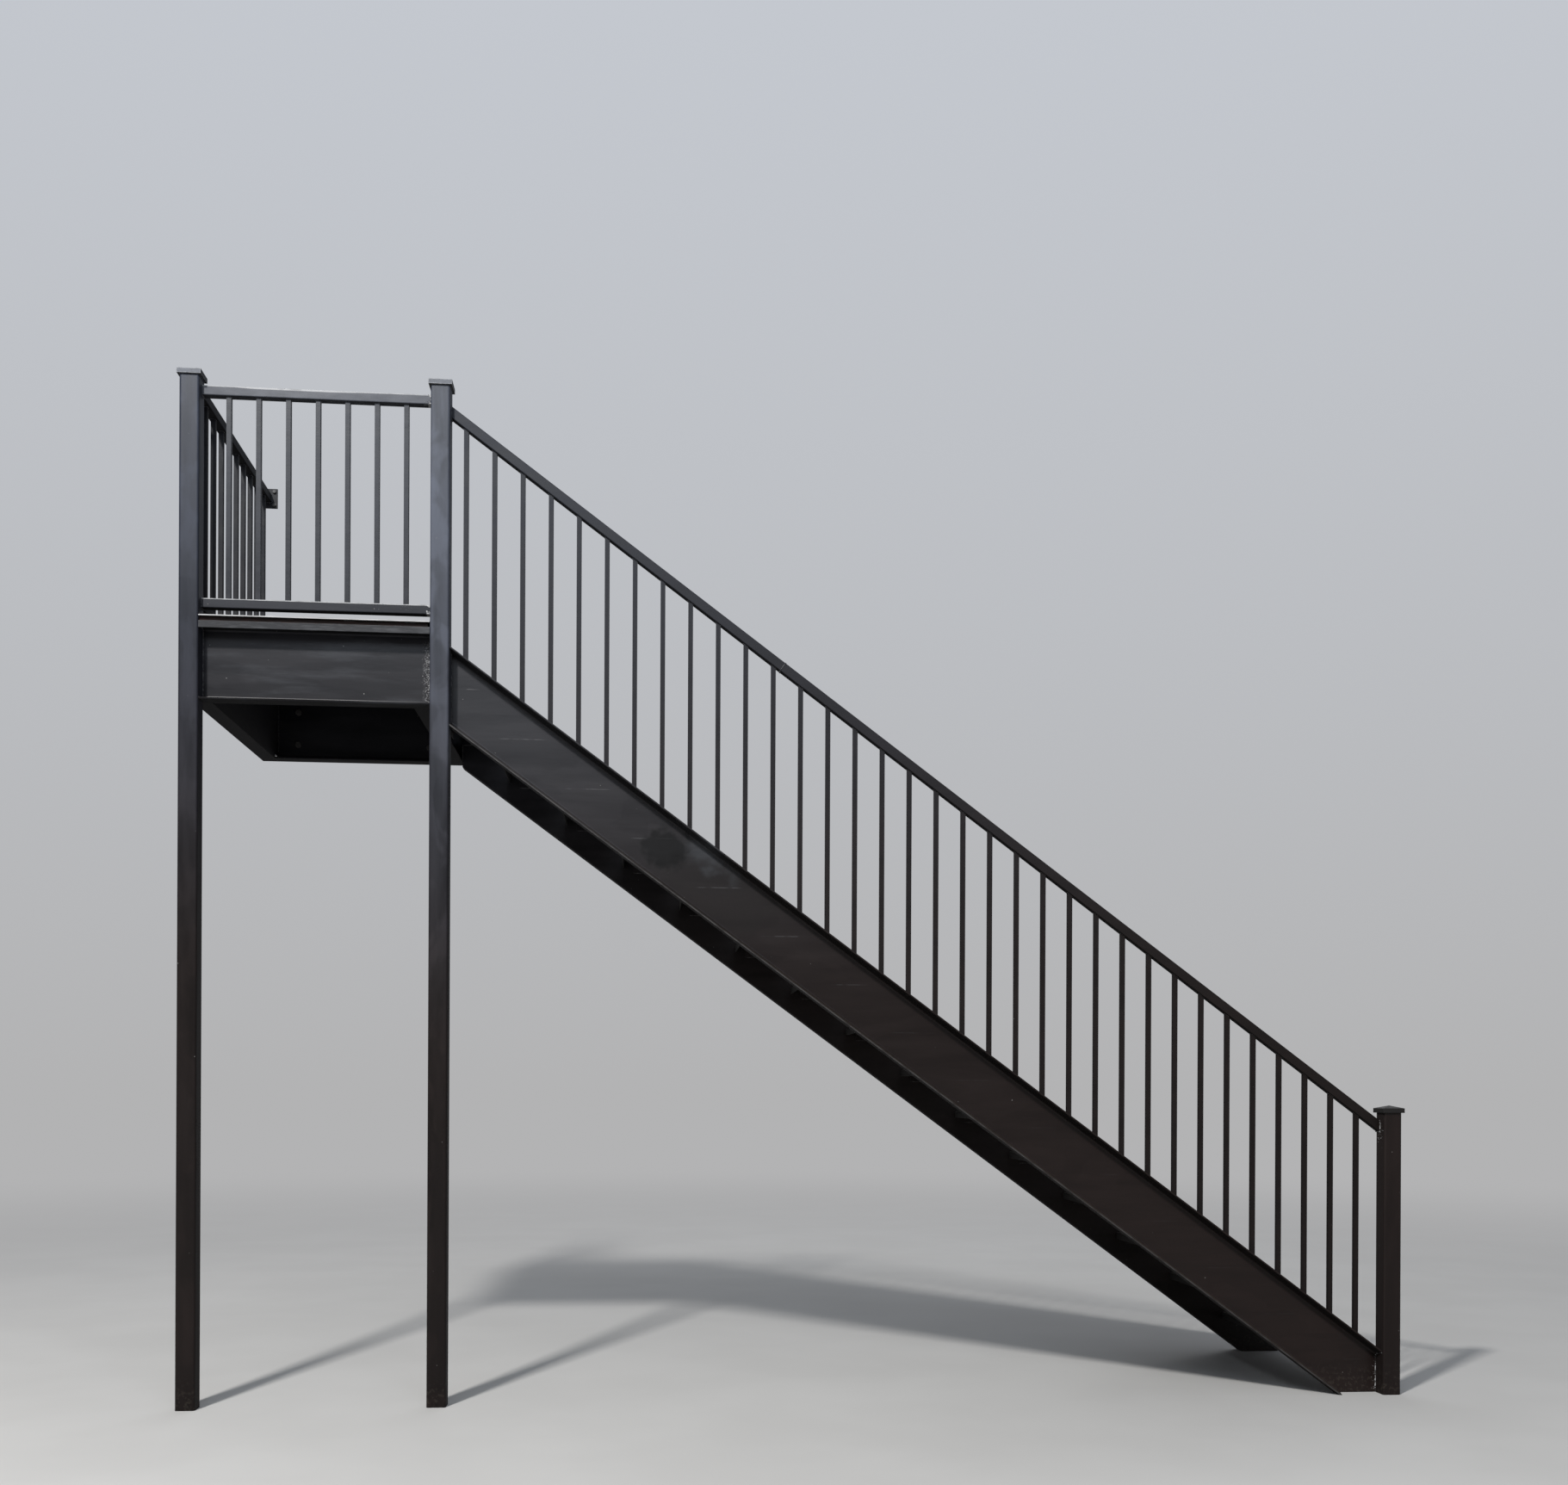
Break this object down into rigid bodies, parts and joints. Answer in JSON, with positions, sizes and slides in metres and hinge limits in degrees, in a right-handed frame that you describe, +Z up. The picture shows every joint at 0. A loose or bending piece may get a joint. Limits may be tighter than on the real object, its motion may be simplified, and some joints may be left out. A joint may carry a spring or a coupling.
{
  "type": "steel fire escape stair",
  "caption": "Black-painted steel outside stair: one straight flight on channel stringers, a landing on two square posts, and guards of square bars.",
  "frame": {"origin": "centre of the flat foot of the outer landing post", "axes": "+X along the wall and down the flight, +Y into the wall, +Z up"},
  "size_m": [4.9832, 1.1661, 4.0732],
  "materials": {
    "frame_paint": "semi-gloss black brushed paint",
    "rail_paint": "semi-gloss black brushed paint with weld spatter",
    "tread_paint": "semi-gloss black paint worn on the lugs",
    "cap_paint": "semi-gloss black paint on cast caps"
  },
  "bodies": {
    "root": {"outer_post": "frame_paint", "stair_post": "frame_paint", "newel_post": "frame_paint", "outer_post_cap": "cap_paint", "stair_post_cap": "cap_paint", "newel_post_cap": "cap_paint", "landing_front_channel": "frame_paint", "landing_side_channel": "frame_paint", "landing_stair_channel": "frame_paint", "landing_wall_channel": "frame_paint", "landing_edge_bar": "frame_paint", "deck_packing": "frame_paint", "deck_joists": "frame_paint", "landing_deck": "tread_paint", "near_stringer": "frame_paint", "far_stringer": "frame_paint", "near_tread_cleats": "frame_paint", "far_tread_cleats": "frame_paint", "tread_01": "tread_paint", "tread_02": "tread_paint", "tread_03": "tread_paint", "tread_04": "tread_paint", "tread_05": "tread_paint", "tread_06": "tread_paint", "tread_07": "tread_paint", "tread_08": "tread_paint", "tread_09": "tread_paint", "tread_10": "tread_paint", "tread_11": "tread_paint", "tread_12": "tread_paint", "tread_13": "tread_paint", "tread_14": "tread_paint", "tread_15": "tread_paint", "landing_front_guard": "rail_paint", "landing_side_guard": "rail_paint", "flight_guard": "rail_paint", "guard_wall_plates": "rail_paint"}
  },
  "joints": []
}
